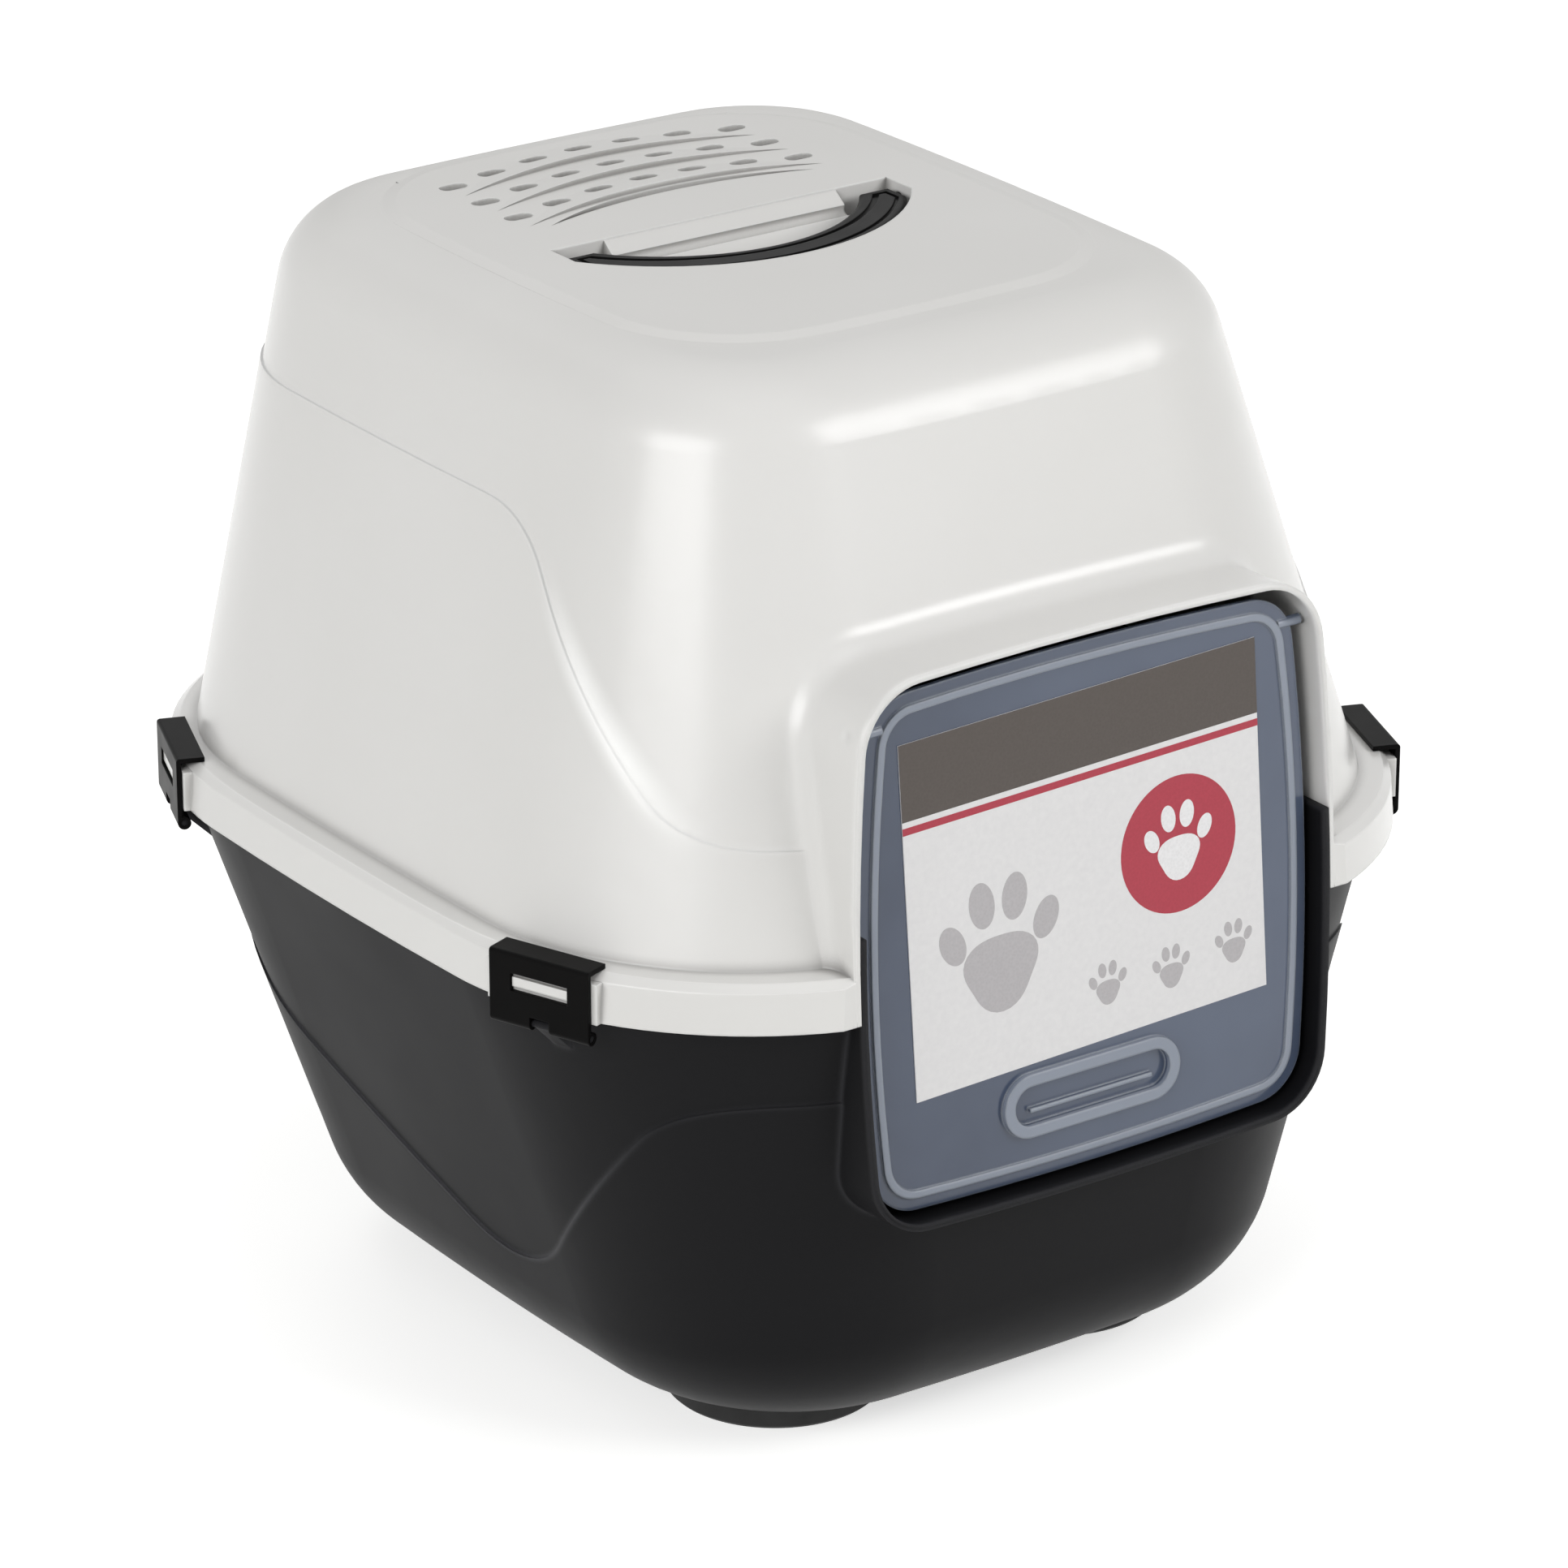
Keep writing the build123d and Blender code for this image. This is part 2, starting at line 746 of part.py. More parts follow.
# Latches: plate with a window, hook over the rim, two knuckles on the pan's pin
for name, (side, end) in latch_places.items():
    frame = latch_frame(side, end)
    with BuildPart() as latch:
        with BuildSketch(frame) as section:
            with Locations((latch_pin_out, 0)):
                Circle(latch_knuckle)
            with Locations((latch_plate_inside, 0)):
                Rectangle(latch_wall, latch_hook_bottom + latch_wall, align=(Align.MIN, Align.MIN))
            with Locations((latch_plate_outside, latch_hook_bottom)):
                Rectangle(latch_wall + latch_hook, latch_wall, align=(Align.MAX, Align.MIN))
            fillet(section.vertices().sort_by(lambda corner: corner.X + corner.Y)[-1], latch_round)
            with Locations((latch_pin_out, 0)):
                Circle(latch_pin_radius + running_gap, mode=Mode.SUBTRACT)
        extrude(amount=latch_length / 2, both=True)
        with BuildSketch(frame):
            with Locations((latch_pin_out, latch_knuckle + latch_web_gap)):
                Rectangle(3 * latch_knuckle, 3 * latch_knuckle, align=(Align.CENTER, Align.MAX))
        extrude(amount=latch_web / 2 + latch_web_gap, both=True, mode=Mode.SUBTRACT)
        with BuildSketch(frame):
            with Locations((latch_plate_inside, latch_window_place)):
                Rectangle(3 * latch_wall, latch_window_height)
        extrude(amount=latch_window_length / 2, both=True, mode=Mode.SUBTRACT)
    latch.part.label = name
    export_step(latch.part, f"parts/{name}.step")

# Carry handle: crescent bail with a groove along its top and a stub at each end
with BuildPart() as handle:
    extrude(handle_outline(0, handle_top), amount=-handle_thickness)
    fillet(handle.edges().filter_by(Axis.Z, reverse=True), handle_round)
    extrude(
        handle_outline(-handle_groove_inset, handle_top),
        amount=-handle_groove_depth,
        mode=Mode.SUBTRACT,
    )
    extrude(
        handle_outline(-handle_groove_inset - handle_groove, handle_top),
        amount=-handle_groove_depth,
    )
    for side in (-1, 1):
        with BuildSketch(Plane.YZ.offset(side * (handle_half_length - handle_arm / 2))):
            with Locations((handle_pivot_place, handle_pivot_height)):
                Circle(handle_pivot_radius)
        extrude(amount=side * (handle_arm / 2 + handle_gap + recess_wall))
handle.part.label = "carry_handle"
export_step(handle.part, "parts/carry_handle.step")

# Filter frame: grid with a locating lip, hinged at the back of the well
well_middle = (well_front + well_rear) / 2
well_length = well_rear - well_front
lip_half_length = well_half_length - well_wall - frame_gap
lip_length = well_length - 2 * (well_wall + frame_gap)
with BuildPart() as filter_frame:
    with BuildSketch(Plane.XY.offset(frame_top)):
        with Locations((0, well_middle)):
            Rectangle(2 * well_half_length, well_length)
            bay = (2 * (well_half_length - frame_border) - frame_bars * frame_bar_width) / (frame_bars + 1)
            with GridLocations(bay + frame_bar_width, 0, frame_bars + 1, 1):
                Rectangle(bay, well_length - 2 * frame_border, mode=Mode.SUBTRACT)
    extrude(amount=-frame_thickness)
    with BuildSketch(Plane.XY.offset(frame_top)):
        with Locations((0, well_middle)):
            Rectangle(2 * lip_half_length, lip_length)
            Rectangle(
                2 * (lip_half_length - frame_lip_wall), lip_length - 2 * frame_lip_wall, mode=Mode.SUBTRACT
            )
    extrude(amount=frame_lip)
    tab_end = hinge_half_length - hinge_ear - frame_gap
    for side in (-1, 1):
        with BuildSketch(Plane.XY.offset(frame_top)):
            with Locations((side * (tab_end - hinge_tab / 2), well_rear)):
                Rectangle(hinge_tab, 2 * hinge_back)
        extrude(amount=-frame_thickness)
        with BuildSketch(Plane.YZ.offset(side * (tab_end - hinge_tab))):
            with Locations((hinge_place, hinge_height)):
                Circle(hinge_radius)
        extrude(amount=side * (hinge_tab + frame_gap + hinge_ear))
filter_frame.part.label = "filter_frame"
export_step(filter_frame.part, "parts/filter_frame.step")

# Carbon filter pad lying in the frame
with BuildPart() as carbon_filter:
    with BuildSketch(Plane.XY.offset(frame_top + rest_gap)):
        with Locations((0, well_middle)):
            Rectangle(
                2 * (lip_half_length - frame_lip_wall - rest_gap),
                lip_length - 2 * (frame_lip_wall + rest_gap),
            )
    extrude(amount=filter_thickness)
carbon_filter.part.label = "carbon_filter"
export_step(carbon_filter.part, "parts/carbon_filter.step")
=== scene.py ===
import bpy, bmesh, math
from mathutils import Matrix, Vector


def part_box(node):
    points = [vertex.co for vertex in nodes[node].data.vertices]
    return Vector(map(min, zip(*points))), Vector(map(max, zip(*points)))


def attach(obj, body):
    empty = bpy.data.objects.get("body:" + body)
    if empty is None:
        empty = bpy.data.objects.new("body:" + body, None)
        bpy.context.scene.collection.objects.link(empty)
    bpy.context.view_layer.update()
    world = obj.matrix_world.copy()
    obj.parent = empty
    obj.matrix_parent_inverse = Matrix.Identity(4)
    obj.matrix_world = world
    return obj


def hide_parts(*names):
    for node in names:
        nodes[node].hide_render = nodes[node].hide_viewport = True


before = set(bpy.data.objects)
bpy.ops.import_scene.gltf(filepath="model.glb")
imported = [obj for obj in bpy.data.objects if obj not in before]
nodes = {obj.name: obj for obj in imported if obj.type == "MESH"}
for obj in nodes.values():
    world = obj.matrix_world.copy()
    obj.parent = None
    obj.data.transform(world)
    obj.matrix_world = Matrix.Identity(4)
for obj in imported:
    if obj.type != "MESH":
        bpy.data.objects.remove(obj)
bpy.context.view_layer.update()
print("frame loaded:", len(nodes), "nodes")

# Patterns and print are sized in millimetres, everything else in metres
millimetresPerMetre = 1000.0
noiseSpan = (0.2, 0.8)  # most of Blender's noise lies between these
factor, first, second, blend = 0, 6, 7, 2  # sockets of a Mix node that mixes colours


def hexColour(text):  # sRGB hex to linear RGBA
    parts = [int(text[i:i + 2], 16) / 255 for i in (1, 3, 5)]
    return tuple(p / 12.92 if p <= 0.04045 else ((p + 0.055) / 1.055) ** 2.4 for p in parts) + (1.0,)


def perMetre(millimetres):  # texture scale for a feature of that size
    return millimetresPerMetre / millimetres


def addNode(tree, kind, sockets=None, feeds=None, out=0, **settings):
    node = tree.nodes.new(kind)
    for name, value in settings.items():
        setattr(node, name, value)
    for name, value in (sockets or {}).items():
        if isinstance(value, bpy.types.NodeSocket):
            tree.links.new(value, node.inputs[name])
        else:
            node.inputs[name].default_value = value
    if feeds is not None:
        tree.links.new(node.outputs[out], feeds)
    return node


def emptyTree(owner, outputKind):  # tree of a material or a world, with its output alone
    owner.use_nodes = True
    tree = owner.node_tree
    tree.nodes.clear()
    output = addNode(tree, outputKind)
    return tree, output.inputs["Surface"]


def startMaterial(name):
    material = bpy.data.materials.new(name)
    tree, surface = emptyTree(material, "ShaderNodeOutputMaterial")
    shader = addNode(tree, "ShaderNodeBsdfPrincipled", feeds=surface)
    place = addNode(tree, "ShaderNodeTexCoord").outputs["Object"]
    return material, tree, shader, place


# the mask below paints edges paler: a painted highlight on the hood and the door, rubbed wear on the pan and
# the trim
def edgeWearAndHighlight(tree, finish, radius):  # the rounded normal, and a mask that grows where it leaves the true one
    corner = addNode(tree, "ShaderNodeBevel", {"Radius": radius}, samples=finish["edgeSamples"])
    surface = addNode(tree, "ShaderNodeNewGeometry")
    turned = addNode(tree, "ShaderNodeVectorMath", {0: corner.outputs[0], 1: surface.outputs["Normal"]},
                     operation="DOT_PRODUCT")
    mask = addNode(tree, "ShaderNodeMapRange",
                   {"Value": turned.outputs["Value"], "From Min": finish["bend"][0],
                    "From Max": finish["bend"][1], "To Min": finish["wearAndHighlightAmount"], "To Max": 0.0})
    return corner.outputs[0], mask.outputs[0]


def intoScene(name, data):
    piece = bpy.data.objects.new(name, data)
    bpy.context.scene.collection.objects.link(piece)
    return piece


def aim(thing, place, target):  # a lamp or camera at place, looking at target
    thing.location = place
    thing.rotation_mode = "QUATERNION"
    thing.rotation_quaternion = (Vector(target) - Vector(place)).to_track_quat("-Z", "Y")


# The door's plane, which leans back: the panel lies behind the front of the collar
doorPlane = {"lean": 3.0, "origin": (0.0, -0.231, 0.121), "recess": 0.009}
doorLean = math.radians(doorPlane["lean"])
doorOut = Vector((0, -math.cos(doorLean), math.sin(doorLean)))
doorUp = Vector((0, math.sin(doorLean), math.cos(doorLean)))
doorPanel = Vector(doorPlane["origin"]) - doorOut * doorPlane["recess"]


# Pearl white polypropylene, injection moulded in a polished tool: broad soft highlights on the walls,
# a satin top, faint flow clouds, fine orange peel, corners rounded by the tool with a painted highlight on
# them, a painted highlight along the wave's crest and painted shade in the vents and along the rim
hoodFinish = {
    "clear": "#e7e6e4", "cloud": "#dfdedb", "edge": "#fcfcfa", "groove": "#6f6c69",
    "cloudSize": 130, "flowSize": 60, "peelSize": 2.6, "peelDepth": 0.00001, "peelStrength": 0.2,
    "waveRadius": 0.0055, "ventRadius": 0.0014, "rimHeight": (0.242, 0.262), "ventHeight": (0.405, 0.425),
    "edgeSamples": 8, "bend": (0.8, 0.998), "wearAndHighlightAmount": 1.0,
    "crestLine": 0.451, "crestWidth": 0.012, "crestMiddle": 0.2, "crestReach": (0.02, 0.1),
    "grooveReach": 0.009, "grooveSamples": 8, "occlusion": (0.4, 0.88),
    "gloss": (0.28, 0.36), "satin": 0.3, "satinHeight": (0.43, 0.452),
    "polish": 0.7, "polishGloss": 0.23, "refraction": 1.49}


def pearlPolypropylene():
    material, tree, shader, place = startMaterial("pearlPolypropylene")
    clouds = addNode(tree, "ShaderNodeTexNoise",
                     {"Vector": place, "Scale": perMetre(hoodFinish["cloudSize"]), "Detail": 2.0})
    flow = addNode(tree, "ShaderNodeTexNoise",
                   {"Vector": place, "Scale": perMetre(hoodFinish["flowSize"]), "Detail": 1.0})
    tint = addNode(tree, "ShaderNodeMix",
                   {factor: clouds.outputs["Fac"], first: hexColour(hoodFinish["clear"]),
                    second: hexColour(hoodFinish["cloud"])}, data_type="RGBA")
    spot = addNode(tree, "ShaderNodeSeparateXYZ", {"Vector": place})
    length, height = spot.outputs["Y"], spot.outputs["Z"]
    # the moulded waves are rounded wide, the rim, the vents and the handle's recess less
    above = addNode(tree, "ShaderNodeMapRange",
                    {"Value": height, "From Min": hoodFinish["ventHeight"][0],
                     "From Max": hoodFinish["ventHeight"][1], "To Min": hoodFinish["waveRadius"],
                     "To Max": hoodFinish["ventRadius"]})
    below = addNode(tree, "ShaderNodeMapRange",
                    {"Value": height, "From Min": hoodFinish["rimHeight"][0],
                     "From Max": hoodFinish["rimHeight"][1], "To Min": hoodFinish["ventRadius"],
                     "To Max": hoodFinish["waveRadius"]})
    radius = addNode(tree, "ShaderNodeMath", {0: above.outputs[0], 1: below.outputs[0]}, operation="MINIMUM")
    corner, edge = edgeWearAndHighlight(tree, hoodFinish, radius.outputs[0])
    # the corners and the wave's step get a painted highlight, paler than the plastic
    lit = addNode(tree, "ShaderNodeMix",
                  {factor: edge, first: tint.outputs[blend], second: hexColour(hoodFinish["edge"])},
                  data_type="RGBA")
    # the wave's crest gets a painted highlight down the middle of its slope;
    # the slope falls at 45 degrees, so z - y stays the same along its crest and y + z runs down it
    across = addNode(tree, "ShaderNodeMath", {0: height, 1: length}, operation="SUBTRACT")
    aside = addNode(tree, "ShaderNodeMath", {0: across.outputs[0], 1: hoodFinish["crestLine"]},
                    operation="SUBTRACT")
    near = addNode(tree, "ShaderNodeMath", {0: aside.outputs[0]}, operation="ABSOLUTE")
    narrow = addNode(tree, "ShaderNodeMapRange",
                     {"Value": near.outputs[0], "From Max": hoodFinish["crestWidth"],
                      "To Min": 1.0, "To Max": 0.0}, interpolation_type="SMOOTHSTEP")
    along = addNode(tree, "ShaderNodeMath", {0: height, 1: length}, operation="ADD")
    apart = addNode(tree, "ShaderNodeMath", {0: along.outputs[0], 1: hoodFinish["crestMiddle"]},
                    operation="SUBTRACT")
    far = addNode(tree, "ShaderNodeMath", {0: apart.outputs[0]}, operation="ABSOLUTE")
    short = addNode(tree, "ShaderNodeMapRange",
                    {"Value": far.outputs[0], "From Min": hoodFinish["crestReach"][0],
                     "From Max": hoodFinish["crestReach"][1], "To Min": 1.0, "To Max": 0.0},
                    interpolation_type="SMOOTHSTEP")
    crest = addNode(tree, "ShaderNodeMath", {0: narrow.outputs[0], 1: short.outputs[0]}, operation="MULTIPLY")
    crestHighlight = addNode(tree, "ShaderNodeMix",
                        {factor: crest.outputs[0], first: lit.outputs[blend],
                         second: hexColour(hoodFinish["edge"])}, data_type="RGBA")
    # painted shade: darker in the vent holes, under the louvres and along the rim, and not along the waves
    occlusion = addNode(tree, "ShaderNodeAmbientOcclusion", {"Distance": hoodFinish["grooveReach"]},
                      samples=hoodFinish["grooveSamples"], only_local=True)
    occlusionShade = addNode(tree, "ShaderNodeMapRange",
                    {"Value": occlusion.outputs["AO"], "From Min": hoodFinish["occlusion"][0],
                     "From Max": hoodFinish["occlusion"][1], "To Min": 1.0, "To Max": 0.0})
    shadeOutsideWaves = addNode(tree, "ShaderNodeMapRange",
                    {"Value": radius.outputs[0], "From Min": hoodFinish["ventRadius"],
                     "From Max": hoodFinish["waveRadius"], "To Min": 1.0, "To Max": 0.0})
    dustAndPaintedShade = addNode(tree, "ShaderNodeMath", {0: occlusionShade.outputs[0], 1: shadeOutsideWaves.outputs[0]}, operation="MULTIPLY")
    addNode(tree, "ShaderNodeMix",
            {factor: dustAndPaintedShade.outputs[0], first: crestHighlight.outputs[blend],
             second: hexColour(hoodFinish["groove"])},
            feeds=shader.inputs["Base Color"], out=blend, data_type="RGBA")
    # the walls are polished and the top is satin
    gloss = addNode(tree, "ShaderNodeMapRange",
                    {"Value": flow.outputs["Fac"], "To Min": hoodFinish["gloss"][0],
                     "To Max": hoodFinish["gloss"][1]})
    satin = addNode(tree, "ShaderNodeMapRange",
                    {"Value": height, "From Min": hoodFinish["satinHeight"][0],
                     "From Max": hoodFinish["satinHeight"][1], "To Max": hoodFinish["satin"]})
    addNode(tree, "ShaderNodeMath", {0: gloss.outputs[0], 1: satin.outputs[0]},
            feeds=shader.inputs["Roughness"], operation="ADD")
    addNode(tree, "ShaderNodeMapRange",
            {"Value": height, "From Min": hoodFinish["satinHeight"][0],
             "From Max": hoodFinish["satinHeight"][1], "To Min": hoodFinish["polish"], "To Max": 0.0},
            feeds=shader.inputs["Coat Weight"])
    peel = addNode(tree, "ShaderNodeTexNoise",
                   {"Vector": place, "Scale": perMetre(hoodFinish["peelSize"]), "Detail": 1.0})
    skin = addNode(tree, "ShaderNodeBump",
                   {"Height": peel.outputs["Fac"], "Strength": hoodFinish["peelStrength"],
                    "Distance": hoodFinish["peelDepth"], "Normal": corner}, feeds=shader.inputs["Normal"])
    tree.links.new(skin.outputs[0], shader.inputs["Coat Normal"])
    shader.inputs["IOR"].default_value = hoodFinish["refraction"]
    shader.inputs["Coat Roughness"].default_value = hoodFinish["polishGloss"]
    return material


# Anthracite polypropylene from a spark-eroded mould: matt fine grain, broad dull sheen, edges rubbed paler,
# and a painted highlight on the edges along the wave on the sides
panFinish = {
    "dark": "#111113", "light": "#171719", "rubbedAndHighlight": "#3a3a3d", "paintedWaveHighlight": "#6a6a6e",
    "cloudSize": 110, "grainSize": 0.9, "grainDepth": 0.00005, "grainStrength": 0.4,
    "cornerRadius": 0.0045, "edgeSamples": 6, "bend": (0.8, 0.998), "wearAndHighlightAmount": 0.9,
    "waveStart": (-0.165, -0.12), "waveTop": (0.188, 0.2),
    "gloss": (0.40, 0.52), "refraction": 1.49, "specular": 0.1}


def anthracitePolypropylene():
    material, tree, shader, place = startMaterial("anthracitePolypropylene")
    clouds = addNode(tree, "ShaderNodeTexNoise",
                     {"Vector": place, "Scale": perMetre(panFinish["cloudSize"]), "Detail": 4.0})
    tint = addNode(tree, "ShaderNodeMix",
                   {factor: clouds.outputs["Fac"], first: hexColour(panFinish["dark"]),
                    second: hexColour(panFinish["light"])}, data_type="RGBA")
    corner, edge = edgeWearAndHighlight(tree, panFinish, panFinish["cornerRadius"])
    # the edges in the wave zone along the sides get a pale painted highlight, so that the wave's step shows
    # as a light line
    spot = addNode(tree, "ShaderNodeSeparateXYZ", {"Vector": place})
    along = addNode(tree, "ShaderNodeMapRange",
                    {"Value": spot.outputs["Y"], "From Min": panFinish["waveStart"][0],
                     "From Max": panFinish["waveStart"][1]})
    under = addNode(tree, "ShaderNodeMapRange",
                    {"Value": spot.outputs["Z"], "From Min": panFinish["waveTop"][0],
                     "From Max": panFinish["waveTop"][1], "To Min": 1.0, "To Max": 0.0})
    waveHighlightZone = addNode(tree, "ShaderNodeMath", {0: along.outputs[0], 1: under.outputs[0]}, operation="MULTIPLY")
    rubbedAndHighlight = addNode(tree, "ShaderNodeMix",
                     {factor: waveHighlightZone.outputs[0], first: hexColour(panFinish["rubbedAndHighlight"]),
                      second: hexColour(panFinish["paintedWaveHighlight"])}, data_type="RGBA")
    addNode(tree, "ShaderNodeMix",
            {factor: edge, first: tint.outputs[blend], second: rubbedAndHighlight.outputs[blend]},
            feeds=shader.inputs["Base Color"], out=blend, data_type="RGBA")
    addNode(tree, "ShaderNodeMapRange",
            {"Value": clouds.outputs["Fac"], "From Min": noiseSpan[0], "From Max": noiseSpan[1],
             "To Min": panFinish["gloss"][0], "To Max": panFinish["gloss"][1]},
            feeds=shader.inputs["Roughness"])
    # the real grit is about 0.2 mm, drawn coarser so that it shows
    grain = addNode(tree, "ShaderNodeTexNoise",
                    {"Vector": place, "Scale": perMetre(panFinish["grainSize"]), "Detail": 2.0})
    addNode(tree, "ShaderNodeBump",
            {"Height": grain.outputs["Fac"], "Strength": panFinish["grainStrength"],
             "Distance": panFinish["grainDepth"], "Normal": corner}, feeds=shader.inputs["Normal"])
    shader.inputs["IOR"].default_value = panFinish["refraction"]
    shader.inputs["Specular IOR Level"].default_value = panFinish["specular"]
    return material


# Black acetal, moulded, for latches, handle and filter frame: satin, edges rubbed by hands
trimFinish = {
    "dark": "#0a0a0a", "light": "#100f0f", "rubbedAndHighlight": "#1c1b1b",
    "smearSize": 14, "grainSize": 0.7, "grainDepth": 0.00003, "grainStrength": 0.3,
    "cornerRadius": 0.0008, "edgeSamples": 4, "bend": (0.75, 0.99), "wearAndHighlightAmount": 0.5,
    "gloss": (0.29, 0.38), "refraction": 1.48, "specular": 0.04}


def blackAcetal():
    material, tree, shader, place = startMaterial("blackAcetal")
    smear = addNode(tree, "ShaderNodeTexNoise",
                    {"Vector": place, "Scale": perMetre(trimFinish["smearSize"]), "Detail": 4.0})
    tint = addNode(tree, "ShaderNodeMix",
                   {factor: smear.outputs["Fac"], first: hexColour(trimFinish["dark"]),
                    second: hexColour(trimFinish["light"])}, data_type="RGBA")
    corner, edge = edgeWearAndHighlight(tree, trimFinish, trimFinish["cornerRadius"])
    addNode(tree, "ShaderNodeMix",
            {factor: edge, first: tint.outputs[blend], second: hexColour(trimFinish["rubbedAndHighlight"])},
            feeds=shader.inputs["Base Color"], out=blend, data_type="RGBA")
    addNode(tree, "ShaderNodeMapRange",
            {"Value": smear.outputs["Fac"], "From Min": noiseSpan[0], "From Max": noiseSpan[1],
             "To Min": trimFinish["gloss"][0], "To Max": trimFinish["gloss"][1]},
            feeds=shader.inputs["Roughness"])
    # the real grain is about 0.2 mm, drawn coarser so that it shows
    grain = addNode(tree, "ShaderNodeTexNoise", {"Vector": place, "Scale": perMetre(trimFinish["grainSize"])})
    addNode(tree, "ShaderNodeBump",
            {"Height": grain.outputs["Fac"], "Strength": trimFinish["grainStrength"],
             "Distance": trimFinish["grainDepth"], "Normal": corner}, feeds=shader.inputs["Normal"])
    shader.inputs["IOR"].default_value = trimFinish["refraction"]
    shader.inputs["Specular IOR Level"].default_value = trimFinish["specular"]
    return material


# Smoked blue polystyrene, moulded: half clear, glossy, with a painted highlight along its bead, pull and
# edges and a painted reflection that lightens it towards the right
doorFinish = {
    "deep": "#414d65", "pale": "#606c84", "paintedBeadHighlight": "#98a1b1", "edge": "#b9c1cc",
    "hazeSize": 70, "rippleSize": 7, "rippleDepth": 0.00005, "rippleStrength": 0.15,
    "cornerRadius": 0.0014, "edgeSamples": 4, "bend": (0.7, 0.99), "wearAndHighlightAmount": 1.0,
    "halfWidth": 0.11, "sweep": (-0.35, 0.4), "rise": (0.0002, 0.0009),
    "gloss": (0.12, 0.2), "clear": 0.22, "refraction": 1.59}


def smokedPolystyrene():
    material, tree, shader, place = startMaterial("smokedPolystyrene")
    haze = addNode(tree, "ShaderNodeTexNoise",
                   {"Vector": place, "Scale": perMetre(doorFinish["hazeSize"]), "Detail": 3.0})
    # the tint is painted lighter from the door's left to its right, a painted reflection, as the photograph
    # shows it
    spot = addNode(tree, "ShaderNodeSeparateXYZ", {"Vector": place})
    sweep = addNode(tree, "ShaderNodeMapRange",
                    {"Value": spot.outputs["X"], "From Min": -doorFinish["halfWidth"],
                     "From Max": doorFinish["halfWidth"], "To Min": doorFinish["sweep"][0],
                     "To Max": doorFinish["sweep"][1]})
    hazeAndPaintedSweep = addNode(tree, "ShaderNodeMath", {0: haze.outputs["Fac"], 1: sweep.outputs[0]},
                    operation="ADD", use_clamp=True)
    tint = addNode(tree, "ShaderNodeMix",
                   {factor: hazeAndPaintedSweep.outputs[0], first: hexColour(doorFinish["deep"]),
                    second: hexColour(doorFinish["pale"])}, data_type="RGBA")
    corner, edge = edgeWearAndHighlight(tree, doorFinish, doorFinish["cornerRadius"])
    # the bead and the pull stand proud of the panel, and get a paler painted highlight
    panel = doorOut.dot(doorPanel)
    depth = addNode(tree, "ShaderNodeVectorMath", {0: place, 1: doorOut}, operation="DOT_PRODUCT")
    proud = addNode(tree, "ShaderNodeMapRange",
                    {"Value": depth.outputs["Value"], "From Min": panel + doorFinish["rise"][0],
                     "From Max": panel + doorFinish["rise"][1]})
    body = addNode(tree, "ShaderNodeMix",
                   {factor: proud.outputs[0], first: tint.outputs[blend],
                    second: hexColour(doorFinish["paintedBeadHighlight"])}, data_type="RGBA")
    # the door's edges get a painted highlight
    addNode(tree, "ShaderNodeMix",
            {factor: edge, first: body.outputs[blend], second: hexColour(doorFinish["edge"])},
            feeds=shader.inputs["Base Color"], out=blend, data_type="RGBA")
    addNode(tree, "ShaderNodeMapRange",
            {"Value": haze.outputs["Fac"], "From Min": noiseSpan[0], "From Max": noiseSpan[1],
             "To Min": doorFinish["gloss"][0], "To Max": doorFinish["gloss"][1]},
            feeds=shader.inputs["Roughness"])
    ripple = addNode(tree, "ShaderNodeTexNoise",
                     {"Vector": place, "Scale": perMetre(doorFinish["rippleSize"])})
    addNode(tree, "ShaderNodeBump",
            {"Height": ripple.outputs["Fac"], "Strength": doorFinish["rippleStrength"],
             "Distance": doorFinish["rippleDepth"], "Normal": corner}, feeds=shader.inputs["Normal"])
    shader.inputs["IOR"].default_value = doorFinish["refraction"]
    shader.inputs["Transmission Weight"].default_value = doorFinish["clear"]
    return material


# Coated card, calendered: bright, faint fibre, a little sheen
cardFinish = {"paper": "#eeeded", "fibre": "#e2e1e2", "fibreSize": 2.5, "fibreDepth": 0.00002,
              "fibreStrength": 0.2, "gloss": (0.42, 0.55)}


def coatedCard():
    material, tree, shader, place = startMaterial("coatedCard")
    fibre = addNode(tree, "ShaderNodeTexNoise",
                    {"Vector": place, "Scale": perMetre(cardFinish["fibreSize"]), "Detail": 6.0})
    addNode(tree, "ShaderNodeMix",
            {factor: fibre.outputs["Fac"], first: hexColour(cardFinish["paper"]),
             second: hexColour(cardFinish["fibre"])},
            feeds=shader.inputs["Base Color"], out=blend, data_type="RGBA")
    addNode(tree, "ShaderNodeMapRange",
            {"Value": fibre.outputs["Fac"], "From Min": noiseSpan[0], "From Max": noiseSpan[1],
             "To Min": cardFinish["gloss"][0], "To Max": cardFinish["gloss"][1]},
            feeds=shader.inputs["Roughness"])
    addNode(tree, "ShaderNodeBump",
            {"Height": fibre.outputs["Fac"], "Strength": cardFinish["fibreStrength"],
             "Distance": cardFinish["fibreDepth"]}, feeds=shader.inputs["Normal"])
    return material


# Offset ink on the card: even colour with a faint dot screen
# a real screen is about 0.15 mm, drawn coarser so that it shows
inkFinish = {"taupe": "#4a423d", "red": "#a92d40", "grey": "#b4b1b3", "white": "#e9e8e9", "dotSize": 1.2,
             "thinning": (1.12, 0.006), "gloss": (0.36, 0.46)}


